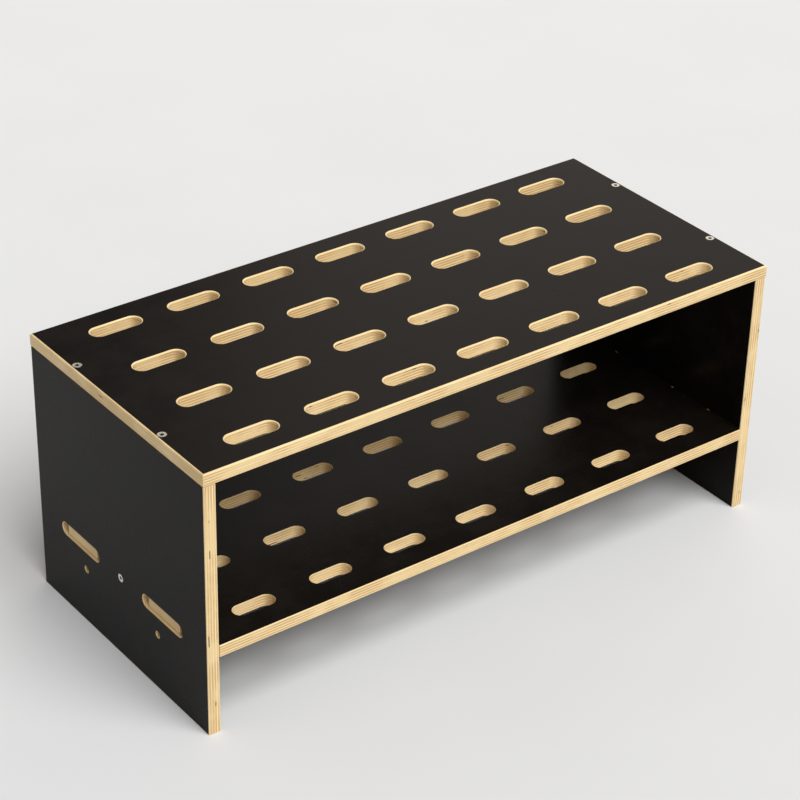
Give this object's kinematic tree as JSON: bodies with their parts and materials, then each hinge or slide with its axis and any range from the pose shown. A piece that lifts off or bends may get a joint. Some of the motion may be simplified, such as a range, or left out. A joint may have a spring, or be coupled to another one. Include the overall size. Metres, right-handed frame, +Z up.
{
  "type": "ski rack",
  "caption": "Free-standing plywood ski rack: a slotted top board over a slotted shelf between two end boards; each slot pair holds a ski upright.",
  "frame": {"origin": "on the floor, under the middle of the rack", "axes": "+X along the rack's length, +Y from the front to the back, +Z up"},
  "size_m": [0.75, 0.335, 0.32],
  "materials": {
    "birch_plywood": "sanded birch plywood, its layered edges left bare",
    "phenolic_film": "smooth brown-black phenolic film with a soft gloss",
    "screw_steel": "plain bright zinc-plated steel"
  },
  "bodies": {
    "root": {"top_panel": "birch_plywood", "top_panel_upper_film": "phenolic_film", "top_panel_lower_film": "phenolic_film", "shelf": "birch_plywood", "shelf_upper_film": "phenolic_film", "shelf_lower_film": "phenolic_film", "left_end_panel": "birch_plywood", "left_end_outer_film": "phenolic_film", "left_end_inner_film": "phenolic_film", "right_end_panel": "birch_plywood", "right_end_outer_film": "phenolic_film", "right_end_inner_film": "phenolic_film", "top_screw_front_left": "screw_steel", "top_screw_back_left": "screw_steel", "side_screw_left": "screw_steel", "top_screw_front_right": "screw_steel", "top_screw_back_right": "screw_steel", "side_screw_right": "screw_steel"}
  },
  "joints": []
}
